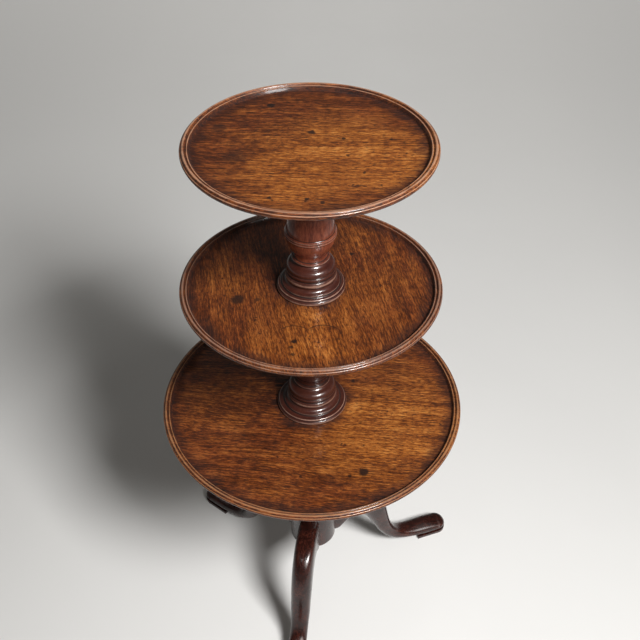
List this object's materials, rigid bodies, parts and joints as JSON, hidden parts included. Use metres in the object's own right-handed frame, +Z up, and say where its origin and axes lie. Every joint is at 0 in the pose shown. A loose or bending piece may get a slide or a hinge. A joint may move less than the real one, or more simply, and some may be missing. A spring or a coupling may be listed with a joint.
{
  "type": "tiered dumb waiter",
  "caption": "Turned mahogany dumb waiter: graduated round dished trays that revolve on a baluster column, over cabriole tripod legs with slipper feet.",
  "frame": {"origin": "middle of the footprint's bounding box, on the floor", "axes": "+Z up along the column; -Y towards the front leg's toe; +X to the right, seen from the front"},
  "size_m": [0.6248, 0.657, 1.1885],
  "materials": {
    "tray_wood": "waxed and french polished mahogany, dark patina round the rim",
    "column_wood": "glossy dark red mahogany turning",
    "leg_wood": "glossy very dark mahogany",
    "bearer_wood": "dry unpolished mahogany",
    "brace_iron": "dull blackened wrought iron",
    "screw_steel": "aged dark steel"
  },
  "bodies": {
    "stand": {"pedestal_column": "column_wood", "lower_column": "column_wood", "upper_column": "column_wood", "leg_front": "leg_wood", "leg_right": "leg_wood", "leg_left": "leg_wood", "leg_brace": "brace_iron", "brace_screw_centre": "screw_steel", "brace_screw_front_inner": "screw_steel", "brace_screw_front_outer": "screw_steel", "brace_screw_right_inner": "screw_steel", "brace_screw_right_outer": "screw_steel", "brace_screw_left_inner": "screw_steel", "brace_screw_left_outer": "screw_steel"},
    "bottom_tier": {"bottom_tray": "tray_wood", "bottom_tray_bearer": "bearer_wood", "bottom_tray_screw_1": "screw_steel", "bottom_tray_screw_2": "screw_steel", "bottom_tray_screw_3": "screw_steel", "bottom_tray_screw_4": "screw_steel"},
    "middle_tier": {"middle_tray": "tray_wood", "middle_tray_bearer": "bearer_wood", "middle_tray_screw_1": "screw_steel", "middle_tray_screw_2": "screw_steel", "middle_tray_screw_3": "screw_steel", "middle_tray_screw_4": "screw_steel"},
    "top_tier": {"top_tray": "tray_wood", "top_tray_bearer": "bearer_wood", "top_tray_screw_1": "screw_steel", "top_tray_screw_2": "screw_steel", "top_tray_screw_3": "screw_steel", "top_tray_screw_4": "screw_steel"}
  },
  "joints": [
    {"name": "bottom_tray_turn", "type": "hinge", "parent": "stand", "child": "bottom_tier", "pos_m": [0, 0.0285, 0.5825], "axis": [0, 0, 1], "continuous": true},
    {"name": "middle_tray_turn", "type": "hinge", "parent": "stand", "child": "middle_tier", "pos_m": [0, 0.0285, 0.8835], "axis": [0, 0, 1], "continuous": true},
    {"name": "top_tray_turn", "type": "hinge", "parent": "stand", "child": "top_tier", "pos_m": [0, 0.0285, 1.168], "axis": [0, 0, 1], "continuous": true}
  ]
}
